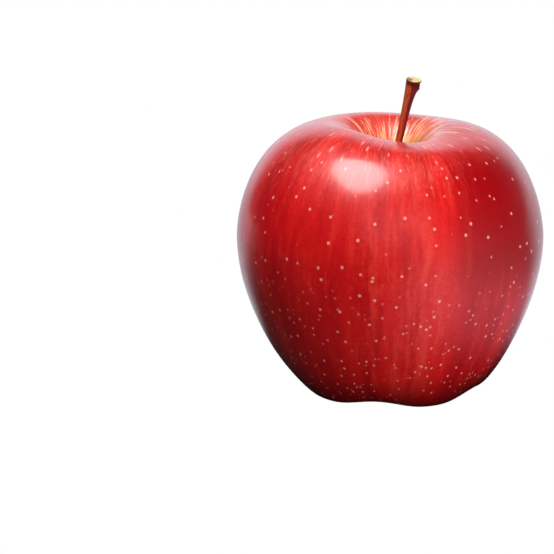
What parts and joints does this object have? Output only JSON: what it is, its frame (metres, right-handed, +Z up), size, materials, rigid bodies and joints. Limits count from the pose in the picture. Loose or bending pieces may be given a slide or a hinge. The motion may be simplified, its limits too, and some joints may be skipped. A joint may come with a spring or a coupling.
{
  "type": "apple",
  "caption": "Whole ripe apple with a woody stem in a deep cavity and a lobed base with a dried eye, resting on flats of its lobes.",
  "frame": {"origin": "on the resting plane, under the fruit's axis, at the middle of its bounding box", "axes": "+Z up along the fruit's axis, from the eye to the stem; +X the way the stem leans; -Y the front"},
  "size_m": [0.08, 0.08, 0.082],
  "materials": {
    "apple_skin": "smooth waxy skin, deep red with fine streaks and pale dots, yellow-green in the stem cavity",
    "stem_bark": "red-brown bark with a pale picked end",
    "dried_sepal": "dry, curled, dark brown",
    "dried_stamens": "dry, tan"
  },
  "bodies": {
    "root": {"fruit": "apple_skin", "stem": "stem_bark", "sepal_1": "dried_sepal", "sepal_2": "dried_sepal", "sepal_3": "dried_sepal", "sepal_4": "dried_sepal", "sepal_5": "dried_sepal", "stamens": "dried_stamens", "styles": "dried_sepal"}
  },
  "joints": []
}
